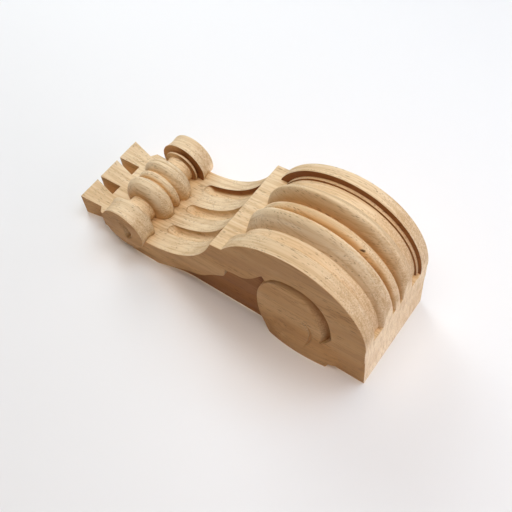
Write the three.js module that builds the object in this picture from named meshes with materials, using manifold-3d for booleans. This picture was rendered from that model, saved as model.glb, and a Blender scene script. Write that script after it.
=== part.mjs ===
// Carved wooden corbel bracket, as one solid of wood.
// Millimetres. It stands as it hangs on a wall: +Z up, the flat back in the plane Y = 0, the
// carved front towards -Y and the width along X. The origin is the centre of the back.
import * as THREE from "three";
import { mergeVertices } from "three/addons/utils/BufferGeometryUtils.js";
import Module from "manifold-3d";

const wasm = await Module();
wasm.setup();
const { Manifold, Mesh } = wasm;

// Overall sizes
const height = 230; // from the top face to the tips of the three drops
const bodyWidth = 70; // across the flush sides
const curveStep = 3.35; // mean length of a facet along a curve

// Side profile. "down" is measured from the top face, "out" from the back.
const topFaceDepth = 41.5; // flat top face, from the back to the ledge
const headRadius = 49.5; // round of the head, from the ledge to its crown
const crownRatio = 1.198; // radius of the flatter round from the crown to the strip, over its length
const headLength = 97.5; // from the top face to the strip
const stripLength = 8.5;
const stripFall = 1;
const waistRadius = 69;

// Front of the head: two rims, and the channel between them with two lobes and a bead
const rimWidth = 8.8;
const rimRise = 2; // inner edge of a rim above its outer edge
const channelDepth = 3.9; // from the inner edge of the rim to the fillet
const filletWidth = 1.8;
const filletStep = 1.2;
const lobeCrestAt = 9.3; // from the middle to the crest of a lobe
const lobeRise = 6.2;
const lobeFootAt = 17.6;
const footDepth = 2.5;
const valleyAt = 4.7;
const valleyDepth = 3.8;
const beadRise = 1.5;
const lobeRunOut = 28; // length over which the lobes rise from the strip
const stripDip = -5; // height at which the channel's forms start, under the strip's plane
const stripReach = 14; // the strip's plane runs on under the channel by this much

// Flutes of the waist, each wider towards the strip
const fluteCount = 3;
const flutePitch = 19.8;
const fluteShift = -1.8; // the flutes' middle, across from the middle plane
const fluteNoseWidth = 7.2;
const fluteHeadWidth = 11;
const fluteDepth = 3.4;
const fluteLength = 69;
const fluteGap = 4; // along the sweep, from the strip to the flutes

// Small scroll across the tail
const scrollUp = 48.3; // its axis, above the tips of the drops
const scrollOut = 25.4;
const scrollWidth = 76.6;
const drumRadius = 16.9;
const drumWidth = 12.1;
const drumStep = 3; // width of the collar inside a drum
const collarRadius = 13.1;
const neckRadius = 9.6;
const scrollLobeAt = 8.2;
const scrollLobeRadius = 18.5;
const scrollValleyAt = 3.3;
const scrollValleyRadius = 13.6;
const scrollBeadRadius = 16.8;
const sweepEndGap = 17.2; // the sweep ends this far above the scroll's axis
const sweepEndOut = 19.5;

// Plate below the scroll, and its three drops
const plateDepth = 14;
const plateWidth = 61;
const plateChamfer = 4.6;
const dropCount = 3;
const dropLength = 15;
const dropPitch = 20.5;
const dropRootWidth = 12;
const dropTipWidth = 17.4;
const dropTipDepth = 18;

// Carving of the sides
const hollowDepth = 4.9; // hollow under the sweep of the waist
const hollowRamp = 24;
const eyeDown = 51.5;
const eyeOut = 28;
const eyeHalfLength = 23.5;
const eyeHalfDepth = 34.3;
const eyeSwell = 4; // a swelling by the back stands proud of the side by this much
const swellDown = 43;
const swellHalfLength = 30;
const swellHalfDepth = 39;
const grooveWidth = 6.6; // at its widest, above the eye
const grooveDepth = 8.5;
const grooveEnd = 22.5; // from the back to the end of the groove, on the side of the top face
const turnRadius = 27.6; // outer turn of the volute, beside the top face
const turnDepth = 0.9;
const slotRadius = 9;
const slotThickness = 3;
const slotDepth = 5;

const halfBody = bodyWidth / 2;
const top = height / 2;
const scrollDown = height - scrollUp;
const plateEnd = height - dropLength;
const crown = { down: headRadius, out: topFaceDepth + headRadius };

// A point of the part from the distance across, down from the top face and out of the back.
const at = (across, down, out) => [across, -out, top - down];

// A closed body from three.js geometry, turned so that its faces look outwards.
function solid(geometry) {
  geometry.deleteAttribute("normal");
  geometry.deleteAttribute("uv");
  const merged = mergeVertices(geometry, 1e-4);
  const vertProperties = new Float32Array(merged.attributes.position.array);
  const triVerts = new Uint32Array(merged.index.array);
  const body = new Manifold(new Mesh({ numProp: 3, vertProperties, triVerts }));
  if (body.volume() > 0) return body;
  for (let i = 0; i < triVerts.length; i += 3)
    [triVerts[i + 1], triVerts[i + 2]] = [triVerts[i + 2], triVerts[i + 1]];
  return new Manifold(new Mesh({ numProp: 3, vertProperties, triVerts }));
}

function meshed(points, triangles) {
  const geometry = new THREE.BufferGeometry();
  geometry.setAttribute("position", new THREE.Float32BufferAttribute(points.flat(), 3));
  geometry.setIndex(triangles.flat());
  return solid(geometry);
}

// A body swept from rows of points: each row is a closed loop, and the ends are capped by fans.
function swept(rows) {
  const count = rows[0].length;
  const points = rows.flat();
  const triangles = [];
  for (let row = 0; row + 1 < rows.length; row++)
    for (let i = 0; i < count; i++) {
      const a = row * count + i;
      const b = row * count + ((i + 1) % count);
      triangles.push([a, b, b + count], [a, b + count, a + count]);
    }
  const last = (rows.length - 1) * count;
  for (let i = 1; i + 1 < count; i++) {
    triangles.push([0, i + 1, i]);
    triangles.push([last, last + i, last + i + 1]);
  }
  return meshed(points, triangles);
}

// A prism across the width, from an outline in (down, out).
function prism(outline, from, to) {
  const shape = new THREE.Shape(outline.map(([down, out]) => new THREE.Vector2(down, out)));
  const geometry = new THREE.ExtrudeGeometry(shape, { depth: to - from, bevelEnabled: false });
  const place = geometry.attributes.position;
  for (let i = 0; i < place.count; i++) {
    const [x, y, z] = at(from + place.getZ(i), place.getX(i), place.getY(i));
    place.setXYZ(i, x, y, z);
  }
  return solid(geometry);
}

// The same body on both sides of the middle plane.
const bothSides = (body) => body.add(body.mirror([1, 0, 0]));

// Points of an arc in (down, out). Angles are in radians, 0 towards the tail and PI / 2 outwards.
function arc(centre, radius, from, to) {
  const steps = Math.max(2, Math.round((Math.abs(to - from) * radius) / curveStep));
  return Array.from({ length: steps + 1 }, (_, i) => {
    const angle = from + ((to - from) * i) / steps;
    return [centre[0] + radius * Math.cos(angle), centre[1] + radius * Math.sin(angle)];
  });
}

// Centre of the arc of a radius that joins two points and sags towards the back.
function arcCentre([ax, ay], [bx, by], radius) {
  const half = Math.hypot(bx - ax, by - ay) / 2;
  const rise = Math.sqrt(Math.max(radius * radius - half * half, 0));
  const [mx, my] = [(ax + bx) / 2, (ay + by) / 2];
  return [mx + ((ay - by) / (2 * half)) * rise, my + ((bx - ax) / (2 * half)) * rise];
}

// Head, from the ledge over the crown to the strip
const headCentre = [crown.down, topFaceDepth];
const crownRadius = (headLength - headRadius) * crownRatio;
const crownCentre = [crown.down, crown.out - crownRadius];
const stripAngle = Math.acos((headLength - crownCentre[0]) / crownRadius);
const stripStart = [headLength, crownCentre[1] + crownRadius * Math.sin(stripAngle)];
const stripEnd = [headLength + stripLength, stripStart[1] - stripFall];

// Height of the front above the rims' outer edge, across half of the head.
// The channel's own shape grows from the ledge and is full before the crown.
function reliefAcross() {
  const inner = halfBody - rimWidth;
  const smooth = (t) => t * t * (3 - 2 * t);
  const floor = rimRise - channelDepth;
  const points = [[0, beadRise]];
  const bead = 5;
  for (let i = 1; i <= bead; i++) {
    const t = i / bead;
    const round = Math.sqrt(1 - t * t);
    points.push([valleyAt * 0.72 * t, -valleyDepth + (beadRise + valleyDepth) * round]);
  }
  const inside = 5;
  for (let i = 0; i <= inside; i++) {
    const t = i / inside;
    const swell = Math.sin((t * Math.PI) / 2);
    const x = valleyAt + (lobeCrestAt - valleyAt) * t;
    points.push([x, -valleyDepth + (lobeRise + valleyDepth) * swell]);
  }
  const outside = 6;
  for (let i = 1; i <= outside; i++) {
    const t = i / outside;
    const x = lobeCrestAt + (lobeFootAt - lobeCrestAt) * t;
    points.push([x, lobeRise - (lobeRise + footDepth) * t ** 1.6]);
  }
  const cove = 4;
  const coveEnd = inner - filletWidth - 0.5;
  const deep = floor - filletStep;
  for (let i = 1; i <= cove; i++) {
    const t = i / cove;
    const x = lobeFootAt + (coveEnd - lobeFootAt) * t;
    points.push([x, -footDepth + (deep + footDepth) * smooth(t)]);
  }
  points.push([coveEnd + 0.3, floor], [inner - 0.3, floor], [inner, rimRise], [halfBody, 0]);
  return points;
}

function headBody() {
  const half = reliefAcross();
  const across = [...half.slice(1).reverse().map(([x, rise]) => [-x, rise]), ...half];
  const path = [
    ...arc(headCentre, headRadius, Math.PI, Math.PI / 2).map((p) => [p, headCentre]),
    ...arc(crownCentre, crownRadius, Math.PI / 2, stripAngle).slice(1).map((p) => [p, crownCentre]),
  ];
  const points = [];
  const triangles = [];
  const wide = across.length;
  path.forEach(([[down, out], centre]) => {
    const away = Math.hypot(down - centre[0], out - centre[1]);
    const normal = [(down - centre[0]) / away, (out - centre[1]) / away];
    // What stands above the rims' outer edge sinks into the top face. Towards the strip the rims'
    // slope fades out, and the lobes, the bead and the coves dive under the strip's plane.
    const rise = Math.sin(Math.min(Math.acos(-normal[0]), Math.PI / 2)) ** 0.85;
    const fall = Math.sin((Math.PI / 2) * Math.min(1, (headLength - down) / lobeRunOut)) ** 0.5;
    for (const [x, lift] of across) {
      const full = Math.max(lift, 0) * rise + Math.min(lift, 0);
      const end = Math.abs(x) < halfBody - rimWidth - 0.1 ? stripDip : 0;
      const above = end + (full - end) * fall;
      points.push(at(x, down + normal[0] * above, out + normal[1] * above));
    }
    for (const [x] of across) points.push(at(x, down, -2));
  });
  const stride = 2 * wide;
  for (let row = 0; row + 1 < path.length; row++)
    for (let i = 0; i + 1 < wide; i++) {
      const a = row * stride + i;
      const b = a + wide;
      triangles.push([a, a + 1, a + 1 + stride], [a, a + 1 + stride, a + stride]);
      triangles.push([b, b + 1 + stride, b + 1], [b, b + stride, b + 1 + stride]);
    }
  for (let row = 0; row + 1 < path.length; row++) {
    const a = row * stride;
    const b = a + wide - 1;
    triangles.push([a, a + stride, a + stride + wide], [a, a + stride + wide, a + wide]);
    triangles.push([b, b + wide, b + stride + wide], [b, b + stride + wide, b + stride]);
  }
  const last = (path.length - 1) * stride;
  for (let i = 0; i + 1 < wide; i++) {
    triangles.push([i, i + wide, i + 1 + wide], [i, i + 1 + wide, i + 1]);
    triangles.push([last + i, last + i + 1, last + i + 1 + wide]);
    triangles.push([last + i, last + i + 1 + wide, last + i + wide]);
  }
  return meshed(points, triangles);
}

// Waist: the strip, the hollow sweep down to the scroll, and the plate behind the scroll
const waistEnd = [scrollDown - sweepEndGap, sweepEndOut];
const waistCentre = arcCentre(stripEnd, waistEnd, waistRadius);

function waistArc() {
  const turn = ([down, out]) => {
    const angle = Math.atan2(out - waistCentre[1], down - waistCentre[0]);
    return angle < 0 ? angle + 2 * Math.PI : angle;
  };
  return arc(waistCentre, waistRadius, turn(stripEnd), turn(waistEnd));
}

function waistBody() {
  const reach = headLength - stripReach;
  const outline = [
    [reach, -2],
    [reach, stripStart[1] + (stripReach * stripFall) / stripLength],
    stripStart,
    ...waistArc(),
    [scrollDown, waistEnd[1]],
    [scrollDown, -2],
  ];
  return prism(outline, -halfBody, halfBody);
}

// One flute: a round-bottomed groove with round ends that follows the sweep
function fluteCutter(across) {
  const from = Math.atan2(stripEnd[1] - waistCentre[1], stripEnd[0] - waistCentre[0]);
  const rows = [];
  const steps = 14;
  for (let row = 0; row <= steps; row++) {
    // The rows crowd towards both round ends.
    const share = (1 - Math.cos((Math.PI * row) / steps)) / 2;
    const angle = from + (fluteGap + share * fluteLength) / waistRadius;
    const inward = [-Math.cos(angle), -Math.sin(angle)];
    const base = waistCentre.map((middle, i) => middle - waistRadius * inward[i]);
    const widest = fluteHeadWidth + (fluteNoseWidth - fluteHeadWidth) * share;
    const near = Math.min(share, 1 - share) * fluteLength + 0.02;
    const round = Math.sqrt(1 - (1 - Math.min(1, near / (widest / 2))) ** 2);
    const half = (widest / 2) * round;
    const depth = fluteDepth * Math.min(round, (near + 1) / (widest / 2 + 2));
    const loop = [];
    const bottom = 6;
    for (let j = 0; j <= bottom; j++) {
      const turn = Math.PI * (j / bottom);
      loop.push([across - half * Math.cos(turn), -depth * Math.sin(turn) ** 0.8]);
    }
    loop.push([across + half, 5], [across - half, 5]);
    rows.push(
      loop.map(([x, lift]) => at(x, base[0] + inward[0] * lift, base[1] + inward[1] * lift)),
    );
  }
  return swept(rows);
}

// Small scroll: two drums with their collars and necks, two lobe rings and the bead between
function scrollBody() {
  const drumInner = scrollWidth / 2 - drumWidth;
  const half = [[0, scrollBeadRadius]];
  for (const t of [0.4, 0.75, 1]) {
    const round = Math.sqrt(1 - t * t);
    const radius = scrollValleyRadius + (scrollBeadRadius - scrollValleyRadius) * round;
    half.push([scrollValleyAt * 0.82 * t, radius]);
  }
  half.push([scrollValleyAt, scrollValleyRadius]);
  for (let i = 1; i <= 4; i++) {
    const swell = Math.sin(((i / 4) * Math.PI) / 2);
    const radius = scrollValleyRadius + (scrollLobeRadius - scrollValleyRadius) * swell;
    half.push([scrollValleyAt + ((scrollLobeAt - scrollValleyAt) * i) / 4, radius]);
  }
  const lobeEnd = drumInner - drumStep - 5;
  for (let i = 1; i <= 6; i++) {
    const round = Math.sqrt(Math.max(1 - (i / 6) ** 2.2, 0));
    const radius = neckRadius + (scrollLobeRadius - neckRadius) * round;
    half.push([scrollLobeAt + ((lobeEnd - scrollLobeAt) * i) / 6, radius]);
  }
  half.push(
    [drumInner - drumStep - 0.8, neckRadius],
    [drumInner - drumStep, neckRadius + 0.8],
    [drumInner - drumStep, collarRadius - 0.5],
    [drumInner - 0.1, collarRadius],
    [drumInner, drumRadius - 0.4],
    [drumInner + 0.5, drumRadius],
    [scrollWidth / 2 - 0.5, drumRadius - 0.3],
    [scrollWidth / 2, drumRadius - 0.8],
  );
  const outline = [
    new THREE.Vector2(0, -scrollWidth / 2),
    ...half.slice(1).reverse().map(([x, radius]) => new THREE.Vector2(radius, -x)),
    ...half.map(([x, radius]) => new THREE.Vector2(radius, x)),
    new THREE.Vector2(0, scrollWidth / 2),
  ];
  const geometry = new THREE.LatheGeometry(outline, 34);
  geometry.rotateZ(-Math.PI / 2);
  geometry.translate(...at(0, scrollDown, scrollOut));
  return solid(geometry);
}

// Plate below the scroll, with its two end corners cut off
function plateBody() {
  const block = prism(
    [
      [scrollDown - 6, -2],
      [scrollDown - 6, plateDepth],
      [plateEnd, plateDepth],
      [plateEnd, -2],
    ],
    -plateWidth / 2,
    plateWidth / 2,
  );
  const corner = swept(
    [-3, plateDepth + 1].map((out) => [
      at(plateWidth / 2 + 1, plateEnd - plateChamfer * 0.75 - 0.75, out),
      at(plateWidth / 2 + 1, plateEnd + 1, out),
      at(plateWidth / 2 - plateChamfer - 1.3, plateEnd + 1, out),
    ]),
  );
  return block.subtract(bothSides(corner));
}

// One drop: a block that widens and thickens from the plate to its tip
function dropBody(across) {
  const loop = (width, depth, down) => [
    at(across - width / 2, down, -2),
    at(across + width / 2, down, -2),
    at(across + width / 2, down, depth),
    at(across - width / 2, down, depth),
  ];
  return swept([
    loop(dropRootWidth, plateDepth, plateEnd - 0.5),
    loop(dropTipWidth, dropTipDepth, height),
  ]);
}

// Outline of a rounded oval in (down, out), of the size of the eye of the volute grown a little
function oval(down, out, grow) {
  const steps = Math.round((Math.PI * (eyeHalfLength + eyeHalfDepth)) / curveStep);
  const round = (v) => Math.sign(v) * Math.abs(v) ** 0.86;
  return Array.from({ length: steps }, (_, i) => {
    const angle = (2 * Math.PI * i) / steps;
    return [
      down + (eyeHalfLength + grow) * round(Math.cos(angle)),
      out + (eyeHalfDepth + grow) * round(Math.sin(angle)),
    ];
  });
}

const eyePrism = () => prism(oval(eyeDown, eyeOut, 0), halfBody - 12, halfBody + 10);

// Hollow of the side between the sweep and the back, up to the eye. Its floor comes up to the
// side again before the scroll.
function hollowCutter() {
  const start = scrollDown - sweepEndGap - 5;
  const edge = [
    [start, 0],
    [stripEnd[0] + 28, 13],
    [stripEnd[0] + 14.7, 18.4],
    [stripEnd[0] - 4.4, 35],
    [stripStart[0] - 1, 43.8],
    [stripStart[0] - 14, 48.4],
    [eyeDown + eyeHalfLength * 0.75, eyeOut + eyeHalfDepth * 0.98],
  ];
  const curve = new THREE.CatmullRomCurve3(
    edge.map(([down, out]) => new THREE.Vector3(down, out, 0)),
  );
  const outline = [[start, -3], ...curve.getPoints(24).map((p) => [p.x, p.y])];
  outline.push([eyeDown, eyeOut], [eyeDown, -3]);
  const body = prism(outline, halfBody - hollowDepth, halfBody + 9);
  const ramp = swept(
    [-4, 90].map((out) => [
      at(halfBody - hollowDepth - 1, start - hollowRamp, out),
      at(halfBody - hollowDepth, start - hollowRamp, out),
      at(halfBody, start + 0.01, out),
      at(halfBody, start + 8, out),
      at(halfBody - hollowDepth - 1, start + 8, out),
    ]),
  );
  return body.subtract(ramp).subtract(eyePrism());
}

// Groove over the eye, a crescent from the hollow to a hook on the side of the top face
function grooveCutter() {
  const grow = 1;
  const outer = oval(eyeDown - 4.2, eyeOut + grooveWidth - grow, grow);
  const crescent = prism(outer, halfBody - grooveDepth, halfBody + 9);
  const above = prism(
    [
      [eyeDown + 60, eyeOut + eyeHalfDepth * 0.5],
      [eyeDown + 60, 140],
      [eyeDown - 60, 140],
      [eyeDown - 60, grooveEnd + 3],
      [eyeDown, grooveEnd - 3],
    ],
    halfBody - grooveDepth - 1,
    halfBody + 10,
  );
  return crescent.intersect(above).subtract(eyePrism());
}

// Swelling of the side around the eye, a low cap that is highest at the back
function swellBody() {
  const bury = 2 * eyeSwell;
  const spread = 1 / Math.sqrt(1 - (bury / (bury + eyeSwell)) ** 2);
  const geometry = new THREE.SphereGeometry(1, 30, 18);
  geometry.scale(bury + eyeSwell, swellHalfDepth * spread, swellHalfLength * spread);
  geometry.translate(...at(halfBody - bury, swellDown, -swellHalfDepth * 0.2));
  return solid(geometry);
}

// Ground outside the turn of the volute, beside the top face
function groundCutter() {
  const centre = [turnRadius, topFaceDepth - 10];
  const turn = arc(centre, turnRadius, Math.PI, 1.45 * Math.PI);
  const outline = [[-5, -5], [-5, centre[1]], ...turn, [turnRadius, -5]];
  return prism(outline, halfBody - turnDepth, halfBody + 9);
}

// Crescent slot in the end of a drum, on the side of the head
function slotCutter() {
  const disc = (down, radius) =>
    prism(
      arc([down, scrollOut], radius, 0, 2 * Math.PI).slice(1),
      scrollWidth / 2 - slotDepth,
      scrollWidth / 2 + 4,
    );
  const outer = disc(scrollDown + 1.5, slotRadius);
  return outer.subtract(disc(scrollDown + 1.5 + slotThickness, slotRadius - 0.4));
}

function corbel() {
  const core = [
    [0, -2],
    [0, topFaceDepth],
    [headLength, topFaceDepth],
    [headLength, -2],
  ];
  let body = headBody().add(waistBody()).add(prism(core, -halfBody, halfBody));
  body = body.add(bothSides(swellBody()));
  for (let i = 0; i < fluteCount; i++)
    body = body.subtract(fluteCutter((i - (fluteCount - 1) / 2) * flutePitch + fluteShift));
  for (const cutter of [hollowCutter(), groundCutter(), grooveCutter()])
    body = body.subtract(bothSides(cutter));
  body = body.add(scrollBody().subtract(bothSides(slotCutter())));
  body = body.add(plateBody());
  for (let i = 0; i < dropCount; i++)
    body = body.add(dropBody((i - (dropCount - 1) / 2) * dropPitch));
  return body.trimByPlane([0, -1, 0], 0).trimByPlane([0, 0, -1], -top);
}

function toMesh(name, body, colour, roughness) {
  const { vertProperties, numProp, triVerts } = body.getMesh();
  const geometry = new THREE.BufferGeometry();
  const place = new Float32Array((vertProperties.length / numProp) * 3);
  for (let i = 0; i < place.length / 3; i++)
    place.set(vertProperties.subarray(i * numProp, i * numProp + 3), i * 3);
  geometry.setAttribute("position", new THREE.BufferAttribute(place, 3));
  geometry.setIndex(new THREE.BufferAttribute(new Uint32Array(triVerts), 1));
  geometry.computeVertexNormals();
  const material = new THREE.MeshStandardMaterial({ color: colour, roughness, metalness: 0 });
  const mesh = new THREE.Mesh(geometry, material);
  mesh.name = name;
  return mesh;
}

const part = new THREE.Group();
part.add(toMesh("corbel", corbel(), 0xc9a57e, 0.62));

export default part;
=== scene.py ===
# %% [markdown]
# A carved wooden corbel: a bracket that hangs on a wall and carries the end of a shelf. It is one
# piece of light, open-pored wood, sawn to a side profile and then carved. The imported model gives
# its solid. Here the same forms are worked out again on much finer grids, joined into one mesh,
# and given a wood that runs through the block instead of being wrapped around it.

import bpy
import numpy as np
from mathutils import Matrix, Vector


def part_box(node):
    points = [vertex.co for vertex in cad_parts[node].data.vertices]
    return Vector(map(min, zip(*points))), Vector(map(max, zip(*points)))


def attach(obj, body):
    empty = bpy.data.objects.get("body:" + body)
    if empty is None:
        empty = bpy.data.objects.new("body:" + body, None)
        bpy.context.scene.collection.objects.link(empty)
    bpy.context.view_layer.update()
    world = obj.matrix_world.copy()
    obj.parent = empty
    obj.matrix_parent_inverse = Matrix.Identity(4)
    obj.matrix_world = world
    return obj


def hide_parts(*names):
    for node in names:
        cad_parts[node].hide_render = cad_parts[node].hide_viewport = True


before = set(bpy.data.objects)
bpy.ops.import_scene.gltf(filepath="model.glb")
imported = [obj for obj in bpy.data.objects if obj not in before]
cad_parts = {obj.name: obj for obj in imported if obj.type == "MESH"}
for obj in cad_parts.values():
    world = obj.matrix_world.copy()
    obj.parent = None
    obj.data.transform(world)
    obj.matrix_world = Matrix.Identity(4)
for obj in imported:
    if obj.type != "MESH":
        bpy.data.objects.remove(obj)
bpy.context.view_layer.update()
MM = 0.001

# %% [markdown]
# The sizes are those of the real carving, in millimetres. "Down" is measured from the flat top
# face, "out" from the flat back, and "across" from the middle. Two sizes are read from the packed
# model, so that the fine surface always sits where the solid sits.

# %% Sizes
low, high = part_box("corbel")
HEIGHT = (high.z - low.z) / MM
TOP = high.z / MM
HALF = 35.0

HEAD_DEPTH = 41.5
HEAD_RADIUS = 49.5
HEAD_LENGTH = 97.5
CROWN_RADIUS = (HEAD_LENGTH - HEAD_RADIUS) * 1.198
STRIP_LENGTH = 8.5
STRIP_FALL = 1.0
WAIST_RADIUS = 69.0

SCROLL_DOWN = HEIGHT - 48.3
SCROLL_OUT = 25.4
SCROLL_HALF = 38.3
DRUM_RADIUS = 16.9
DRUM_WIDTH = 12.1
SWEEP_END = (SCROLL_DOWN - 17.2, 19.5)
PLATE_END = HEIGHT - 15.0
print("height and half width, in mm:", round(HEIGHT, 2), HALF)


def place(across, down, out):
    """Points in metres from arrays of distances across, down from the top and out of the back."""
    across, down, out = np.broadcast_arrays(across, down, out)
    return np.stack([across, -out, TOP - down], -1) * MM


# %% [markdown]
# Every body below is a closed tube: rows of points, each row a closed loop, with a flat cap on
# both ends. One helper turns such an array into a mesh, and looks at the signed volume to make
# the faces point outwards.

# %% Closed tubes from arrays
def tube(name, rows):
    """Rows of closed loops, an array (rows, points, 3), as a mesh object with capped ends."""
    count, wide = rows.shape[:2]
    index = np.arange(count * wide).reshape(count, wide)
    a = index[:-1]
    b = index[1:]
    sides = np.stack([a, np.roll(a, -1, 1), np.roll(b, -1, 1), b], -1).reshape(-1, 4)
    corners = rows.reshape(-1, 3)
    p = corners[sides]
    volume = np.einsum("ij,ij->i", p[:, 0], np.cross(p[:, 1], p[:, 2])).sum()
    volume += np.einsum("ij,ij->i", p[:, 0], np.cross(p[:, 2], p[:, 3])).sum()
    for ring in (index[0][::-1], index[-1]):
        q = corners[ring]
        volume += np.einsum("ij,ij->i", np.cross(q[1:-1], q[2:]), q[:1].repeat(wide - 2, 0)).sum()
    faces = [list(map(int, f)) for f in sides]
    faces += [list(map(int, index[0][::-1])), list(map(int, index[-1]))]
    if volume < 0:
        faces = [f[::-1] for f in faces]
    mesh = bpy.data.meshes.new(name)
    mesh.from_pydata(corners.tolist(), [], faces)
    piece = bpy.data.objects.new(name, mesh)
    bpy.context.scene.collection.objects.link(piece)
    return piece


def prism(name, outline, start, end):
    """A block with an outline in (down, out), between two distances across."""
    outline = np.asarray(outline, float)
    loops = [place(x, outline[:, 0], outline[:, 1]) for x in (start, end)]
    return tube(name, np.array(loops))


ARC_STEP = 0.8


def arc(centre, radius, start, end):
    """Points of an arc in (down, out); angle 0 points down the part and pi / 2 outwards."""
    count = max(3, int(abs(end - start) * radius / ARC_STEP) + 1)
    angle = np.linspace(start, end, count)
    return np.stack([centre[0] + radius * np.cos(angle), centre[1] + radius * np.sin(angle)], -1)


# %% [markdown]
# A carver roughs out one body and then cuts into it. The mesh is made in the same order, with
# Boolean modifiers that are applied one after the other.

# %% Joining and cutting
def combine(piece, other, operation):
    """Joins or cuts a piece with another one, which is used up."""
    step = piece.modifiers.new("step", "BOOLEAN")
    step.operation = operation
    step.solver = "MANIFOLD"
    step.object = other
    graph = bpy.context.evaluated_depsgraph_get()
    result = bpy.data.meshes.new_from_object(piece.evaluated_get(graph))
    piece.modifiers.clear()
    old = piece.data
    piece.data = result
    bpy.data.meshes.remove(old)
    bpy.data.objects.remove(other)
    return piece


def both_sides(make):
    """The same body on the right and on the left, by a function of the side, +1 or -1."""
    return [make(side) for side in (1, -1)]


# %% [markdown]
# The side profile. The head is a round of one radius from the ledge of the top face to the crown,
# and a flatter round from there to the strip. The strip is a short straight band, and the waist
# is one long hollow sweep that ends under the small scroll.

# %% Side profile
head_centre = np.array([HEAD_RADIUS, HEAD_DEPTH])
crown_centre = np.array([HEAD_RADIUS, HEAD_DEPTH + HEAD_RADIUS - CROWN_RADIUS])
strip_angle = np.arccos((HEAD_LENGTH - HEAD_RADIUS) / CROWN_RADIUS)
strip_start = np.array([HEAD_LENGTH, crown_centre[1] + CROWN_RADIUS * np.sin(strip_angle)])
strip_end = strip_start + (STRIP_LENGTH, -STRIP_FALL)


def sweep_centre(a, b, radius):
    """Centre of the arc through two points that sags towards the back."""
    a, b = np.array(a), np.array(b)
    half = np.hypot(*(b - a)) / 2
    rise = np.sqrt(radius**2 - half**2)
    return (a + b) / 2 + np.array([a[1] - b[1], b[0] - a[0]]) / (2 * half) * rise


waist_centre = sweep_centre(strip_end, SWEEP_END, WAIST_RADIUS)


def turn_of(point):
    """The angle at which a point is seen from the waist's centre, from 0 to a full turn."""
    return np.arctan2(point[1] - waist_centre[1], point[0] - waist_centre[0]) % (2 * np.pi)


head_path = arc(head_centre, HEAD_RADIUS, np.pi, np.pi / 2)
crown_path = arc(crown_centre, CROWN_RADIUS, np.pi / 2, strip_angle)[1:]
strip_path = np.linspace(strip_start, strip_end, 9)
waist_path = arc(waist_centre, WAIST_RADIUS, turn_of(strip_end), turn_of(SWEEP_END))[1:]
under_path = np.linspace(SWEEP_END, (SCROLL_DOWN, SWEEP_END[1]), 5)[1:]
head_normal = (head_path - head_centre) / HEAD_RADIUS
crown_normal = (crown_path - crown_centre) / CROWN_RADIUS
print("profile rows:", len(head_path) + len(crown_path), len(waist_path))

# %% [markdown]
# The front of the head. Two rims stand at the sides and slope outwards a little. Inside each rim
# a wall drops to a thin fillet, and then come a cove, a lobe with its crest near the middle, a
# narrow valley, and a bead in the very middle. The relief is a height over the profile as a
# function of the distance across, and it is laid along the profile's normal.

# %% Relief across the head
RIM_INNER = HALF - 8.8
RIM_RISE = 2.0
FLOOR = RIM_RISE - 3.9
STEP = 1.2
CREST_AT, CREST = 9.3, 6.2
FOOT_AT, FOOT = 17.6, -2.5
VALLEY_AT, VALLEY = 4.7, -3.8
BEAD_HALF, BEAD = 3.38, 1.5
EDGE = 0.45


def smooth(t):
    """Three t squared less two t cubed: from 0 to 1, level at both ends."""
    t = np.clip(t, 0, 1)
    return t * t * (3 - 2 * t)


def quarter_oval(middle, half, low, high, count):
    """A quarter of an ellipse, from its top over the middle down to its side."""
    turn = np.linspace(0, np.pi / 2, count)
    return np.stack([middle + half * np.sin(turn), low + (high - low) * np.cos(turn)], -1)


def quarter_wave(start, end, t):
    """From start to end: across evenly, and in height as the first quarter of a sine."""
    (x, low), (end_x, high) = start, end
    return np.stack([x + (end_x - x) * t, low + (high - low) * np.sin(t * np.pi / 2)], -1)


def relief_points():
    """Half of the cross-section, from the middle to the rounded edge of the rim."""
    bead = quarter_oval(0, BEAD_HALF, VALLEY, BEAD, 8)
    valley = np.array([[3.75, VALLEY - 0.12], [4.25, VALLEY - 0.12]])
    t = np.linspace(0, 1, 11) ** 1.25
    inside = quarter_wave((VALLEY_AT, VALLEY), (CREST_AT, CREST), t)
    t = np.linspace(0, 1, 14)[1:]
    outside = np.stack([CREST_AT + (FOOT_AT - CREST_AT) * t, CREST - (CREST - FOOT) * t**1.6], -1)
    cove_end = RIM_INNER - 2.3
    cove = quarter_wave((FOOT_AT, FOOT), (cove_end, FLOOR - STEP), np.linspace(0, 1, 9)[1:])
    wall = np.array(
        [
            [cove_end + 0.12, FLOOR - 0.15],
            [cove_end + 0.3, FLOOR],
            [RIM_INNER - 0.55, FLOOR],
            [RIM_INNER - 0.3, FLOOR + 0.1],
            [RIM_INNER - 0.18, FLOOR + 0.4],
            [RIM_INNER - 0.02, RIM_RISE - 0.35],
            [RIM_INNER + 0.1, RIM_RISE - 0.08],
            [RIM_INNER + 0.4, RIM_RISE],
        ]
    )
    slope = RIM_RISE / (HALF - RIM_INNER)
    x = np.linspace(RIM_INNER + 1.2, HALF - EDGE, 8)
    rim = np.stack([x, (HALF - x) * slope], -1)
    edge = quarter_oval(HALF - EDGE, EDGE, EDGE * slope - EDGE, EDGE * slope, 4)[1:]
    return np.concatenate([bead, valley, inside, outside, cove, wall, rim, edge])


half_section = relief_points()
section = np.concatenate([half_section[:0:-1] * (-1, 1), half_section])
flat = np.where(np.abs(section[:, 0]) > HALF - EDGE, np.minimum(section[:, 1], 0), 0)
print("points across the front:", len(section))

# %% [markdown]
# The trunk is one tube from the top face to the scroll. Each loop runs across the front, down one
# side, across the back and up the other side. Towards the ledge what stands proud sinks into the
# top face. Towards the strip the lobes, the bead and the coves dive under the strip's plane, and a
# block up to that plane fills what lies below it, so each form ends in its own round nose.
# By the back the sides swell around the eye of the volute, as a low cap on the flat side.

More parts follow.
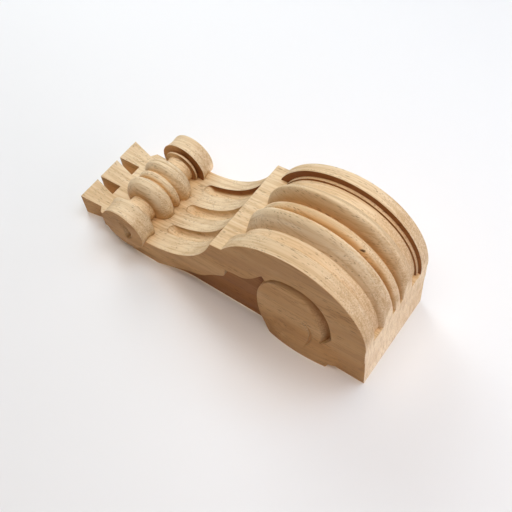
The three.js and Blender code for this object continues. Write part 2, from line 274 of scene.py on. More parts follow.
# %% Trunk
SWELL = 4.0
SWELL_DOWN, SWELL_OUT = 43.0, -7.8
SWELL_LENGTH, SWELL_DEPTH = 40.2, 52.3
BURY = 8.0
RUN_OUT = 28.0
DIP = -5.0
REACH = 14.0
SIDE_ROWS = 34


def side_swell(down, out):
    """Height of the side over its plane: the top of a large ellipsoid, faded in softly."""
    r2 = ((down - SWELL_DOWN) / SWELL_LENGTH) ** 2 + ((out - SWELL_OUT) / SWELL_DEPTH) ** 2
    cap = (BURY + SWELL) * np.sqrt(np.clip(1 - r2, 0, 1)) - BURY
    return np.where(cap > -1, (cap + np.sqrt(cap**2 + 0.4**2)) / 2, 0) * smooth(cap + 1)


def hand(down, across):
    """The slow unevenness of hand-finished work, in millimetres."""
    a = np.sin(down * 0.21 + across * 0.13 + 1.0) * np.sin(down * 0.083 - across * 0.31)
    b = np.sin(down * 0.47 - across * 0.19 + 2.2) * np.sin(across * 0.27 + 0.6)
    return 0.035 * a + 0.02 * b


def trunk_rows():
    """Front points, their normals and the relief of each row, as arrays."""
    front = np.concatenate([head_path, crown_path])
    normal = np.concatenate([head_normal, crown_normal])
    rise = np.sin(np.minimum(np.arccos(np.clip(-normal[:, 0], -1, 1)), np.pi / 2)) ** 0.85
    fall = np.sin(np.pi / 2 * np.clip((HEAD_LENGTH - front[:, 0]) / RUN_OUT, 0, 1)) ** 0.5
    lift = section[:, 1]
    full = np.maximum(lift, 0) * rise[:, None] + np.minimum(lift, 0)
    end = np.where(np.abs(section[:, 0]) < RIM_INNER - 0.25, DIP, 0)
    relief = end + (full - end) * fall[:, None]
    uneven = hand(front[:, :1], section[:, 0]) * smooth(rise * 2)[:, None]
    relief += uneven * (np.abs(section[:, 0]) < HALF - 2)
    down = front[:, :1] + normal[:, :1] * relief
    out = front[:, 1:] + normal[:, 1:] * relief
    # What lies under the strip's plane is filled later; the last row closes the channel there.
    last = np.maximum(HEAD_LENGTH - down[-1], 0)
    end_down = down[-1] + last
    end_out = out[-1] - last * normal[-1, 0] / normal[-1, 1]
    rest = np.concatenate([strip_path, waist_path, under_path])
    slope = np.gradient(rest, axis=0)
    slope /= np.hypot(slope[:, 0], slope[:, 1])[:, None]
    rest_down = rest[:, :1] - slope[:, 1:] * flat
    rest_out = rest[:, 1:] + slope[:, :1] * flat
    down = np.concatenate([down, end_down[None], rest_down])
    out = np.concatenate([out, end_out[None], rest_out])
    foot = np.concatenate([front[:, 0], [HEAD_LENGTH], rest[:, 0]])
    return np.maximum(down, 0), out, foot


def trunk():
    """Each loop is the front's row, then straight lines in to the back on both sides."""
    down, out, foot = trunk_rows()
    rows = len(down)
    across = np.broadcast_to(section[:, 0], down.shape)
    # From the edge of the front, straight lines run to the back, on both sides.
    t = (np.arange(1, SIDE_ROWS + 1) / SIDE_ROWS)[None]
    sides = []
    for end in (-1, 0):
        side_down = down[:, end][:, None] * (1 - t) + foot[:, None] * t
        side_out = out[:, end][:, None] * (1 - t)
        sides.append((side_down, side_out, HALF + side_swell(side_down, side_out)))
    right, left = sides
    loops = [
        place(across, down, out),
        place(right[2], right[0], right[1]),
        place(-left[2][:, ::-1], left[0][:, ::-1], left[1][:, ::-1]),
    ]
    return tube("corbel_carving", np.concatenate(loops, 1))


def strip_block():
    """What lies under the strip's plane, carried on up the channel between the rims."""
    rise = STRIP_FALL / STRIP_LENGTH
    near = (strip_start[0] + 1, strip_start[1] - rise - 0.01)
    far = (strip_start[0] - REACH, strip_start[1] + REACH * rise - 0.01)
    outline = [near, far, (far[0], 20), (near[0], 20)]
    return prism("strip_block", outline, -RIM_INNER - 1, RIM_INNER + 1)


body = trunk()
combine(body, strip_block(), "UNION")
print("trunk faces:", len(body.data.polygons))

# %% [markdown]
# The carving of the sides. The eye of the volute is a rounded oval. A deep crescent is cut over
# it: its outer wall stands straight, and its floor rises to the eye as a dome. The dome is one
# oval in layers, each moved a little further back than the one below. At its end by the top face
# the outer wall curls in. A short curl is cut with a round gouge in the eye itself. Under the
# sweep of the waist a shallow hollow runs from the eye to the scroll, and its upper edge has a
# small cusp where two gouge cuts meet. Beside the top face the ground outside the last turn of
# the volute lies a little lower.

# %% Side carving
EYE_DOWN, EYE_OUT = 51.5, 28.0
EYE_LENGTH, EYE_DEPTH = 23.5, 34.3
HOLLOW = 4.9
HOLLOW_RAMP = 24.0
GROOVE_DEPTH = 10.0
GROOVE_WIDTH = 6.6
GROOVE_END = 19.5
GROOVE_CURL = [(21.5, 35.5), (23.4, 31.0), (25.2, 27.3), (27.6, 24.3), (31.0, 22.0), (36.0, 20.7)]
GOUGE_PATH = [(43.5, 34.3), (40.0, 32.3), (37.3, 29.0), (36.4, 25.0), (37.6, 17.3), (40.5, 10.9)]
GOUGE_RADIUS = 1.3
OUTER_DOWN, OUTER_OUT = EYE_DOWN - 4.2, EYE_OUT + GROOVE_WIDTH - 1
DOME_TOP = 2.0
DOME_SLIDE = (9.2, -12.2)
TURN_RADIUS = 27.6
GROUND = 0.9
OVER = 12.0
SQUARENESS = 0.86


def oval(down, out, grow):
    """A superellipse in (down, out), a little squarer than an ellipse: the sine and cosine are
    raised to a power below 1."""
    angle = np.linspace(0, 2 * np.pi, 150, endpoint=False)
    c, s = np.cos(angle), np.sin(angle)
    along = (EYE_LENGTH + grow) * np.sign(c) * np.abs(c) ** SQUARENESS
    outwards = (EYE_DEPTH + grow) * np.sign(s) * np.abs(s) ** SQUARENESS
    return np.stack([down + along, out + outwards], -1)


def curve_through(points, count):
    """A Catmull-Rom curve through points, worked out for all its points at once."""
    p = np.asarray(points, float)
    p = np.concatenate([2 * p[:1] - p[1:2], p, 2 * p[-1:] - p[-2:-1]])
    t = np.linspace(0, len(points) - 1.000001, count)
    i = t.astype(int)
    f = (t - i)[:, None]
    a, b, c, d = (p[i + k] for k in range(4))
    square = 2 * a - 5 * b + 4 * c - d
    cube = 3 * b - a - 3 * c + d
    return 0.5 * (2 * b + (c - a) * f + square * f**2 + cube * f**3)


# %% [markdown]
# The hollow under the waist is a flat-bottomed recess. Its upper edge is two curves that meet in
# the cusp, its floor comes up to the side again by the scroll, and the eye stands clear of it.

# %% Hollow under the waist
def hollow_outline(start):
    """The hollow's edge in (down, out): two curves through points, closed along the back."""
    a, b = strip_start[0], strip_end[0]
    lower = [(start, 0), (b + 28, 13), (b + 14.7, 18.4), (b + 3, 28.5), (b - 6, 35.2)]
    lower += [(b - 7.6, 39.6)]
    by_eye = (EYE_DOWN + EYE_LENGTH * 0.75, EYE_OUT + EYE_DEPTH * 0.98)
    upper = [(b - 8.6, 43.6), (b - 14, 45.2), (a - 13, 46.4), (a - 20, 51.5), by_eye]
    edge = [curve_through(lower, 60), curve_through(upper, 40)]
    return np.concatenate([[(start, -3)], *edge, [(EYE_DOWN, EYE_OUT), (EYE_DOWN, -3)]])


def hollow_ramp(side, start):
    """The block that stays in the hollow's end: its floor rises as a power of the distance."""
    floor = HALF - HOLLOW
    foot = start - HOLLOW_RAMP
    wedge = [(floor - 1, foot - 2), (floor, foot - 2)]
    t = np.linspace(0, 1, 14)[1:]
    wedge += [(floor + HOLLOW * u, foot + HOLLOW_RAMP * u**0.72) for u in t]
    wedge += [(HALF, start + 8), (floor - 1, start + 8)]
    wedge = np.array(wedge)
    rows = [place(side * wedge[:, 0], wedge[:, 1], out) for out in (-4.0, 90.0)]
    return tube("ramp", np.array(rows))


def hollow_cut(side):
    """The outline as a block, less the ramp and less the eye."""
    start = SWEEP_END[0] - 5
    cut = prism("hollow", hollow_outline(start), side * (HALF - HOLLOW), side * (HALF + OVER))
    combine(cut, hollow_ramp(side, start), "DIFFERENCE")
    eye = prism("eye", oval(EYE_DOWN, EYE_OUT, 0), side * (HALF - OVER), side * (HALF + OVER))
    return combine(cut, eye, "DIFFERENCE")


# %% [markdown]
# The groove over the eye is the outer oval as a straight block, kept only where the crescent
# runs, less the dome of the eye. The gouge's curl and the lower ground are simple cuts.

# %% Groove, gouge and ground


def eye_dome(side):
    """The eye's own surface: one oval in many layers that slides back as the layers rise."""
    t = np.linspace(0, 1, 16)
    across = HALF + DOME_TOP - (DOME_TOP + GROOVE_DEPTH) * (1 - t) ** 1.3
    base = oval(OUTER_DOWN, OUTER_OUT, 1.2)
    rows = [place(side * (HALF - GROOVE_DEPTH - 2), base[:, 0], base[:, 1])]
    for x, share in zip(across, t):
        slid = base + share * np.array(DOME_SLIDE)
        rows.append(place(side * x, slid[:, 0], slid[:, 1]))
    rows.append(rows[-1] + np.array([side * OVER * MM, 0, 0]))
    return tube("eye_dome", np.array(rows))


def groove_cut(side):
    """The outer oval as a block, where it lies outside a line from the curl to the tail side,
    less the dome."""
    outer = oval(OUTER_DOWN, OUTER_OUT, 1)
    cut = prism("groove", outer, side * (HALF - GROOVE_DEPTH), side * (HALF + OVER))
    low, high = EYE_DOWN - 60, EYE_DOWN + 60
    far = [(high, EYE_OUT + EYE_DEPTH * 0.5), (high, 140), (low, 140)]
    far += [(low, GROOVE_CURL[0][1] + 0.5)]
    above = np.concatenate([far, curve_through(GROOVE_CURL, 24), [(EYE_DOWN, GROOVE_END)]])
    keep = prism("above", above, side * (HALF - GROOVE_DEPTH - 1), side * (HALF + OVER + 1))
    combine(cut, keep, "INTERSECT")
    return combine(cut, eye_dome(side), "DIFFERENCE")


def gouge_cut(side):
    """A short curl inside the eye: a round tool run along a curve, deepest in its middle."""
    path = curve_through(GOUGE_PATH, 26)
    along = np.gradient(path, axis=0)
    along /= np.hypot(along[:, 0], along[:, 1])[:, None]
    square = np.stack([along[:, 1], -along[:, 0]], -1)
    radius = 0.05 + GOUGE_RADIUS * np.sin(np.linspace(0, np.pi, len(path))) ** 0.6
    height = HALF + side_swell(path[:, 0], path[:, 1]) + 0.1
    turn = np.linspace(0, 2 * np.pi, 12, endpoint=False)
    x = side * (height[:, None] + radius[:, None] * np.sin(turn))
    offset = radius[:, None] * np.cos(turn)
    rows = place(x, path[:, :1] + square[:, :1] * offset, path[:, 1:] + square[:, 1:] * offset)
    return tube("gouge", rows)


def ground_cut(side):
    """A thin layer of the side, in the corner outside the volute's last turn."""
    centre = (TURN_RADIUS, HEAD_DEPTH - 10)
    turn = arc(centre, TURN_RADIUS, np.pi, 1.45 * np.pi)
    outline = np.concatenate([[(-5, -5), (-5, centre[1])], turn, [(TURN_RADIUS, -5)]])
    return prism("ground", outline, side * (HALF - GROUND), side * (HALF + OVER))


for cutter in (hollow_cut, groove_cut, ground_cut, gouge_cut):
    for cut in both_sides(cutter):
        combine(body, cut, "DIFFERENCE")
print("after the sides:", len(body.data.polygons))

# %% [markdown]
# Three flutes run down the waist. Each is a gouge cut with a round nose by the scroll, wider and
# deeper towards the strip. The cut is a tube whose loops stand square to the sweep.

# %% Flutes
FLUTE_PITCH = 19.8
FLUTE_SHIFT = -1.8
FLUTE_NOSE, FLUTE_HEAD = 7.2, 11.0
FLUTE_DEPTH = 4.3
FLUTE_LENGTH = 69.0
FLUTE_GAP = 4.0


def flute_cut(across):
    """Loops along the arc; the bottom of each is a flat half-round, and size falls at both ends."""
    share = (1 - np.cos(np.linspace(0, np.pi, 72))) / 2
    angle = turn_of(strip_end) + (FLUTE_GAP + share * FLUTE_LENGTH) / WAIST_RADIUS
    inward = -np.stack([np.cos(angle), np.sin(angle)], -1)
    base = waist_centre - WAIST_RADIUS * inward
    widest = FLUTE_HEAD + (FLUTE_NOSE - FLUTE_HEAD) * share
    near = np.minimum(share, 1 - share) * FLUTE_LENGTH + 0.02
    round_end = np.sqrt(1 - (1 - np.minimum(1, near / (widest / 2))) ** 2)
    half = widest / 2 * round_end
    depth = FLUTE_DEPTH * np.minimum(round_end, (near + 1) / (widest / 2 + 2))
    turn = np.linspace(0, np.pi, 19)
    x = across - half[:, None] * np.cos(turn)
    lift = -depth[:, None] * np.sin(turn) ** 0.62
    x = np.concatenate([x, across + half[:, None], across - half[:, None]], 1)
    lift = np.concatenate([lift, np.full((len(lift), 2), 5.0)], 1)
    rows = place(x, base[:, :1] + inward[:, :1] * lift, base[:, 1:] + inward[:, 1:] * lift)
    return tube("flute", rows)


for i in range(3):
    combine(body, flute_cut((i - 1) * FLUTE_PITCH + FLUTE_SHIFT), "DIFFERENCE")
print("after the flutes:", len(body.data.polygons))

# %% [markdown]
# The small scroll is turned: a drum at each end with a collar and a neck inside it, two lobe rings
# and a bead. It is a profile carried around an axis across the part. Its ends are flat discs, each
# with a small crescent cut that reads as the end of the roll.

# %% Small scroll
NECK = 9.6
COLLAR = 13.1
RING_AT, RING = 8.2, 18.5
RING_VALLEY_AT, RING_VALLEY = 3.3, 13.6
RING_BEAD = 16.8
COLLAR_WIDTH = 3.0
SLOT_RADIUS = 9.0
# The slot's layers, as (height over the end disc, width), from its floor upwards.
SLOT_LAYERS = [(-8.0, 3.2), (-5.0, 4.0), (-2.4, 5.2), (0.0, 7.6), (4.0, 7.6)]


def scroll_profile():
    """Half of the profile as (across, radius), from the middle bead to the end disc."""
    inner = SCROLL_HALF - DRUM_WIDTH
    bead = quarter_oval(0, RING_VALLEY_AT * 0.86, RING_VALLEY, RING_BEAD, 7)
    t = np.linspace(0, 1, 9) ** 1.2
    inside = quarter_wave((RING_VALLEY_AT, RING_VALLEY), (RING_AT, RING), t)
    collar = inner - COLLAR_WIDTH
    ring_end = collar - 7
    turn = np.linspace(0, np.pi / 2, 13)[1:]
    fall = NECK + (RING - NECK) * np.cos(turn) ** 0.92
    outside = np.stack([RING_AT + (ring_end - RING_AT) * np.sin(turn), fall], -1)
    tail = np.array(
        [
            [ring_end + 0.8, NECK - 0.1],
            [ring_end + 2.2, NECK],
            [collar - 1.2, NECK + 0.15],
            [collar - 0.5, NECK + 0.5],
            [collar - 0.1, NECK + 1.2],
            [collar, COLLAR - 0.5],
            [collar + 0.15, COLLAR - 0.1],
            [collar + 0.5, COLLAR],
            [inner - 1.7, COLLAR],
            [inner - 1.4, COLLAR - 0.3],
            [inner - 1.1, COLLAR - 2.0],
            [inner - 0.2, COLLAR - 2.0],
            [inner, COLLAR - 1.2],
            [inner, DRUM_RADIUS + 0.2],
            [inner + 0.15, DRUM_RADIUS + 0.5],
            [inner + 0.6, DRUM_RADIUS + 0.6],
            [inner + 2.4, DRUM_RADIUS + 0.05],
            [inner + 5.5, DRUM_RADIUS - 0.4],
            [inner + 8.5, DRUM_RADIUS - 0.4],
            [SCROLL_HALF - 0.6, DRUM_RADIUS - 0.2],
            [SCROLL_HALF - 0.15, DRUM_RADIUS - 0.35],
            [SCROLL_HALF, DRUM_RADIUS - 0.8],
        ]
    )
    return np.concatenate([bead, inside, outside, tail])


def scroll():
    """The whole profile carried around the axis: radius times sine and cosine of the turn."""
    half = scroll_profile()
    whole = np.concatenate([half[:0:-1] * (-1, 1), half])
    turn = np.linspace(0, 2 * np.pi, 132, endpoint=False)
    radius = whole[:, 1:]
    down, out = SCROLL_DOWN + radius * np.cos(turn), SCROLL_OUT + radius * np.sin(turn)
    return tube("scroll", place(whole[:, :1], down, out))


def slot_cut(side):
    """Crescents in layers: the outer arc stays, and the inner one draws away as they rise."""
    t = np.linspace(0, 1, 24)
    angle = np.pi + (t - 0.5) * 2.8 - 0.30
    outer = SLOT_RADIUS * np.stack([np.cos(angle), np.sin(angle)], -1)
    bulge = np.stack([np.sin(np.pi * t) ** 0.8, 0.25 * np.sin(np.pi * t)], -1)
    rows = []
    for x, width in SLOT_LAYERS:
        inner = outer + width * bulge
        loop = np.concatenate([outer, inner[-2:0:-1]]) + (SCROLL_DOWN + 1.5, SCROLL_OUT)
        rows.append(place(side * (SCROLL_HALF + x), loop[:, 0], loop[:, 1]))
    return tube("slot", np.array(rows))


roll = scroll()
for cut in both_sides(slot_cut):
    combine(roll, cut, "DIFFERENCE")
combine(body, roll, "UNION")
print("after the scroll:", len(body.data.polygons))

# %% [markdown]
# The tail: a plain plate with its two corners cut off, and three drops that widen and thicken
# towards their tips.

# %% Tail
PLATE_DEPTH = 14.0
PLATE_HALF = 30.5
CHAMFER = 4.6
DROP_PITCH = 20.5
DROP_ROOT, DROP_TIP = 12.0, 17.4
DROP_DEPTH = 18.0


def plate():
    """A flat board: half of its outline in (across, down), mirrored, at two depths."""
    half = np.array(
        [
            (PLATE_HALF - CHAMFER, PLATE_END),
            (PLATE_HALF, PLATE_END - CHAMFER * 0.75),
            (PLATE_HALF, SCROLL_DOWN - 6),
        ]
    )
    outline = np.concatenate([half[::-1] * (-1, 1), half])
    rows = [place(outline[:, 0], outline[:, 1], out) for out in (0.0, PLATE_DEPTH)]
    return tube("plate", np.array(rows))


def drop(across):
    """A block between a small rectangle under the plate and a larger one at the tip."""

    def loop(width, depth, down):
        """A rectangle on the back's plane, square to the length."""
        x = across + np.array([-0.5, 0.5, 0.5, -0.5]) * width
        return place(x, down, np.array([0.0, 0.0, depth, depth]))

    root = loop(DROP_ROOT, PLATE_DEPTH, PLATE_END - 0.5)
    return tube("drop", np.array([root, loop(DROP_TIP, DROP_DEPTH, HEIGHT)]))


combine(body, plate(), "UNION")
for i in range(3):
    combine(body, drop((i - 1) * DROP_PITCH), "UNION")
print("finished carving:", len(body.data.polygons), "faces")

# %% [markdown]
# The joined mesh is cleaned and its sharp edges are marked by angle, so that the rounds shade
# smoothly and the cuts stay crisp.

# %% Clean surface
import bmesh

work = bmesh.new()
work.from_mesh(body.data)
bmesh.ops.remove_doubles(work, verts=work.verts, dist=2e-6)
bmesh.ops.dissolve_degenerate(work, edges=work.edges, dist=1e-6)
bmesh.ops.triangulate(work, faces=[f for f in work.faces if len(f.verts) > 4])
work.to_mesh(body.data)
work.free()
body.data.shade_smooth()
body.data.set_sharp_from_angle(angle=np.radians(32))
print("triangles:", sum(len(p.vertices) - 2 for p in body.data.polygons))

# %% [markdown]
# Shader maths reads like arithmetic through one small class: a socket whose operators add nodes.

# %% Sockets as numbers
class Socket:
    """A node socket that can be added, multiplied and mixed like a number."""

    def __init__(self, tree, link):
        self.tree = tree
        self.link = link

    def node(self, kind, settings=None, values=None, output=0):
        """A new node: its settings, then the values or links of its inputs; gives one output."""
        made = self.tree.nodes.new(kind)
        for key, value in (settings or {}).items():
            setattr(made, key, value)
        for key, value in (values or {}).items():
            if isinstance(value, Socket):
                self.tree.links.new(value.link, made.inputs[key])
            else:
                made.inputs[key].default_value = value
        return Socket(self.tree, made.outputs[output])

    def maths(self, operation, *others):
        """A Math node on this number and any others."""
        values = dict(enumerate((self, *others)))
        return self.node("ShaderNodeMath", {"operation": operation}, values)

    def vector_maths(self, operation, *others, output=0):
        """A Vector Math node on this vector and any others."""
        values = dict(enumerate((self, *others)))
        return self.node("ShaderNodeVectorMath", {"operation": operation}, values, output)

    def __add__(self, other):
        return self.maths("ADD", other)

    def __radd__(self, other):
        return self.maths("ADD", other)

    def __sub__(self, other):
        return self.maths("SUBTRACT", other)

    def __rsub__(self, other):
        return self.node("ShaderNodeMath", {"operation": "SUBTRACT"}, {0: other, 1: self})

    def __mul__(self, other):
        return self.maths("MULTIPLY", other)

    def __rmul__(self, other):
        return self.maths("MULTIPLY", other)

    def __pow__(self, other):
        return self.maths("POWER", other)

    def between(self, low, high):
        """0 below low and 1 above high, smooth between them."""
        values = {"Value": self, "From Min": low, "From Max": high}
        return self.node("ShaderNodeMapRange", {"interpolation_type": "SMOOTHSTEP"}, values)

    def mix(self, a, b):
        """Colour a where this mask is 0 and colour b where it is 1."""
        settings = {"data_type": "RGBA"}
        return self.node("ShaderNodeMix", settings, {0: self, 6: a, 7: b}, output=2)

    def glaze(self, base, tint):
        """The base colour, multiplied by a tint where this mask is 1."""
        settings = {"data_type": "RGBA", "blend_type": "MULTIPLY"}
        return self.node("ShaderNodeMix", settings, {0: self, 6: base, 7: tint}, output=2)

    def parts(self):
        """The three parts of this vector."""
        first = self.node("ShaderNodeSeparateXYZ", None, {0: self})
        return [Socket(self.tree, part) for part in first.link.node.outputs]

    def moved(self, scale, shift=(0, 0, 0)):
        """This place, stretched along each axis and then shifted."""
        values = {"Vector": self, "Scale": scale, "Location": shift}
        return self.node("ShaderNodeMapping", None, values)

    def noise(self, scale, shift=(0, 0, 0), detail=2.0, roughness=0.5, output=0):
        """Noise that changes as many times in a metre along each axis as the scale says."""
        values = {"Vector": self.moved(scale, shift), "Scale": 1.0}
        values.update({"Detail": detail, "Roughness": roughness})
        return self.node("ShaderNodeTexNoise", None, values, output)


def new_material(name):
    """An empty material and a socket to start its nodes from."""
    material = bpy.data.materials.new(name)
    material.use_nodes = True
    material.node_tree.nodes.clear()
    return material, Socket(material.node_tree, None)


def show(material, shader):
    """Links a shader to the material's surface."""
    output = material.node_tree.nodes.new("ShaderNodeOutputMaterial")
    material.node_tree.links.new(shader.link, output.inputs["Surface"])
    print(material.name, "has", len(material.node_tree.nodes), "nodes")
    return material


# %% [markdown]
# The wood is solid: every value comes from the place inside the block, so the grain runs through
# the carving as it does in the real piece. The boards' growth rings stand nearly square to the
# width, so they show as lines along the front and as broad clouds on the sides. The light part
# of a ring is the early wood, which holds most of the pores.

# %% Growth rings
PITH = (0.31, 0.10)
PITH_LEAN = (0.035, 0.05)
RING_WIDTH = 0.0034


def wandering(here):
    """The place moved by a slow noise of a few millimetres, so that no line is quite straight."""
    wander = here.noise((8, 8, 5), detail=1.0, output=1)
    return wander.vector_maths("MULTIPLY_ADD", (0.014, 0.014, 0), here)


def growth_rings(here, grain):
    """The distance from a leaning line far to one side, counted in ring widths: its fraction
    gives the early and the late wood, and each whole number has a tone of its own."""
    x, y, z = grain.parts()
    px = x + PITH[0] + z * PITH_LEAN[0]
    py = y + PITH[1] + z * PITH_LEAN[1]
    ring = (px * px + py * py) ** 0.5 * (1 / RING_WIDTH)
    ring = ring + here.noise((60, 60, 9), (5, 2, 7)) * 0.9
    phase = ring.maths("FRACT")
    whole = {"W": ring.maths("FLOOR")}
    tone = ring.node("ShaderNodeTexWhiteNoise", {"noise_dimensions": "1D"}, whole)
    early = phase.between(0.0, 0.10) * (1 - phase.between(0.35, 0.65))
    late = phase.between(0.45, 0.95) * (1 - phase.between(0.96, 1.0))
    return early, late, tone


# %% [markdown]
# Fibres are fine streaks along the grain. They are thin across a growth ring and long within it,
# so the front shows lines, and the sides show the edges of the thin layers inside a ring. Pores
# are short dashes: on the flat of the grain they are lines, and where a surface cuts across it
# they are dots.

# %% Fibres and pores
def fibres(grain, to_side):
    """Two noises drawn out along the grain, one for the front and one for the sides, shared out
    by how far the surface faces sideways."""
    layers = grain.noise((1150, 190, 24), detail=3.0, roughness=0.62)
    edges = grain.noise((260, 820, 20), (4, 4, 1), detail=3.0, roughness=0.62)
    side_view = to_side.between(0.45, 0.85)
    return layers * (1 - side_view) + edges * side_view


def pores(grain, early):
    """The cores of cells drawn out along the grain, where a broader noise is high."""
    dashes = {"Vector": grain.moved((1250, 1250, 150)), "Scale": 1.0, "Randomness": 1.0}
    cell = grain.node("ShaderNodeTexVoronoi", {"feature": "F1"}, dashes)
    thick = grain.noise((230, 230, 36), (3, 1, 2))
    return (1 - cell.between(0.14, 0.40)) * thick.between(0.38, 0.56) * (0.50 + 0.50 * early)


# %% [markdown]
# The clean wood is painted in layers from broad to fine: patches of two tones, the late wood of
# each ring, bands, streaks, fibres, and the dark of the pores.

# %% Clean wood
PALE = (0.850, 0.680, 0.455, 1)
HONEY = (0.735, 0.535, 0.320, 1)
LATE_WOOD = (0.600, 0.400, 0.210, 1)
SAP_LIGHT = (0.880, 0.740, 0.540, 1)
STREAK_DARK = (0.540, 0.345, 0.165, 1)
PORE_DARK = (0.260, 0.140, 0.060, 1)


def clean_wood(here, grain, late_share, streak, fibre, pore):
    """Each layer's mask, times its strength, mixes its colour over what lies below."""
    patch = here.noise((24, 24, 10), (0.4, 2.0, 1.0), roughness=0.55)
    band = grain.noise((120, 120, 5), (2, 9, 4))
    base = patch.between(0.32, 0.68).mix(HONEY, PALE)
    base = late_share.mix(base, LATE_WOOD)
    base = (band.between(0.50, 0.74) * 0.30).mix(base, STREAK_DARK)
    base = (streak.between(0.50, 0.72) * 0.58).mix(base, STREAK_DARK)
    base = ((1 - streak.between(0.27, 0.48)) * 0.50).mix(base, SAP_LIGHT)
    base = (fibre.between(0.48, 0.72) * 0.58).mix(base, STREAK_DARK)
    return (pore * 0.70).mix(base, PORE_DARK)


# %% [markdown]
# Surfaces that look up the grain were cut against it. They drink in the light and look darker,
# and the torn ends of the fibres leave a speckle. The sawn top face is smooth.

# %% Torn ends
END_DARK = (0.470, 0.270, 0.120, 1)


def torn_ends(base, here, to_top):
    """Where the surface faces up the grain, a fine noise darkens and lightens the colour; also
    gives how far that speckle stands out."""
    torn = to_top.between(0.28, 0.80) * (1 - to_top.between(0.985, 0.997))
    speckle = here.noise((1050, 1050, 560), (1, 4, 8), roughness=0.7)
    base = (torn * 0.16).mix(base, END_DARK)
    base = (torn * speckle.between(0.50, 0.66) * 0.50).mix(base, END_DARK)
    base = (torn * (1 - speckle.between(0.34, 0.47)) * 0.34).mix(base, SAP_LIGHT)
    return base, speckle * torn


# %% [markdown]
# The sides are browner: partly the face of the boards, and partly painted shade for the side that
# lies in shade. What is cut into a side is a darker, warmer brown the deeper it lies, and the
# narrow recesses are darker and warmer where little open sky is over them: both are painted shade.
# The tints work by how far a place lies inside the side's plane, and leave out the tail, whose own
# sides lie further in.

# %% Side tone and painted shade
# Tints that are multiplied in: all painted shade, and the side's is partly the boards' own face.
SIDE_FACE_AND_SHADE_TINT = (0.86, 0.64, 0.43, 1)
CUT_SHADE_TINT = (0.79, 0.62, 0.46, 1)
DEEP_SHADE_TINT = (0.44, 0.31, 0.21, 1)
RECESS_SHADE_TINT = (0.90, 0.77, 0.58, 1)
RECESS_REACH = 0.016


def side_tone_and_painted_shade(base, here, to_side):
    """Tints of painted shade on the side faces, which are also the boards' browner face, deep in
    the side's cuts, and where little open sky is over a place.
    """
    across, _, height = here.parts()
    inward = HALF * MM - across.maths("ABSOLUTE")
    # Painted shade on the side faces, and partly the browner face of the boards.
    face = to_side.between(0.25, 0.95) * (1 - inward.between(0.0095, 0.0125))
    base = face.glaze(base, SIDE_FACE_AND_SHADE_TINT)
    # Painted shade: the cuts in the side are darker the deeper a place lies inside the side's
    # plane.
    side_cut = to_side.between(0.30, 0.80) * height.between(-0.072, -0.062)
    cut_in = inward.between(0.0004, 0.0036) * (1 - inward.between(0.0080, 0.0088))
    base = (cut_in * side_cut).glaze(base, CUT_SHADE_TINT)
    deep = inward.between(0.0030, 0.0078) * (1 - inward.between(0.0130, 0.0140))
    base = (deep * side_cut).glaze(base, DEEP_SHADE_TINT)
    # Painted shade in the narrow recesses, darker where ambient occlusion finds little open sky.
    settings = {"samples": 6, "only_local": True}
    reach = {"Distance": RECESS_REACH}
    open_sky = here.node("ShaderNodeAmbientOcclusion", settings, reach, output=1)
    return (1 - open_sky.between(0.20, 0.92)).glaze(base, RECESS_SHADE_TINT)


# %% [markdown]
# Three dark places: a small knot beside the bead and a speck on the near drop, copied from the real
# piece, and a patch of painted shade in the far flute.

# %% Knot, speck and painted shade
KNOT_AND_SHADE_DARK = (0.070, 0.032, 0.014, 1)
# Each as (place, half sizes in millimetres, strength).
DARK_MARKS_AND_SHADE = [
    (place(2.4, 23.4, 83.3), (1.0, 1.0, 2.3), 0.90),
    (place(18.0, 216.2, 16.5), (0.9, 1.0, 1.3), 0.75),
    # Painted shade: a dark patch in the far flute, where shade falls, not a mark in the wood.
    (place(-24.0, 131.7, 32.1), (2.6, 3.0, 3.4), 0.42),
]


def dark_marks_and_shade(base, here):
    """Ellipsoids whose edge is broken up by noise and fades out."""
    ragged = here.noise((900, 900, 500), roughness=0.6) * 0.7
    for mark, size, strength in DARK_MARKS_AND_SHADE:
        away = here.vector_maths("SUBTRACT", tuple(mark))
        scaled = away.vector_maths("DIVIDE", tuple(np.array(size) * MM))
        length = scaled.vector_maths("LENGTH", output=1)
        spot = (1 - (length + ragged).between(0.75, 1.5)) * strength
        base = spot.mix(base, KNOT_AND_SHADE_DARK)
    return base


print("marks:", len(DARK_MARKS_AND_SHADE))

# %% [markdown]
# All layers come together in one material. Fibres, pores and torn ends also stand out a little,
# and every sharp edge is softened by a very small radius. The bare wood has a dull, even sheen.

# %% Wood
EDGE_RADIUS = 0.00045
RELIEF = 0.00022


def wood():
    """The colour layers in order, then a bump from the sum of the fine patterns."""
    material, start = new_material("open_pored_wood")
    here = start.node("ShaderNodeTexCoord", output="Object")
    facing, _, to_top = start.node("ShaderNodeNewGeometry", output="Normal").parts()
    to_side = facing.maths("ABSOLUTE")
    grain = wandering(here)
    early, late, tone = growth_rings(here, grain)
    fibre = fibres(grain, to_side)
    streak = grain.noise((430, 75, 8), roughness=0.55)
    pore = pores(grain, early)
    base = clean_wood(here, grain, late * (0.18 + 0.34 * tone), streak, fibre, pore)
    base, torn = torn_ends(base, here, to_top)
    base = dark_marks_and_shade(side_tone_and_painted_shade(base, here, to_side), here)

    height = fibre * 0.5 - pore + streak * 0.3 + torn * 2.2
    soft = start.node("ShaderNodeBevel", {"samples": 4}, {"Radius": EDGE_RADIUS})
    relief = {"Height": height, "Strength": 0.6, "Distance": RELIEF, "Normal": soft}
    bump = start.node("ShaderNodeBump", None, relief)
    rough = 0.62 + 0.12 * (1 - late) - 0.06 * streak
    surface = {"Base Color": base, "Roughness": rough, "Normal": bump, "Specular IOR Level": 0.30}
    return show(material, start.node("ShaderNodeBsdfPrincipled", None, surface))


body.data.materials.clear()
body.data.materials.append(wood())
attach(body, "root")
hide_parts("corbel")

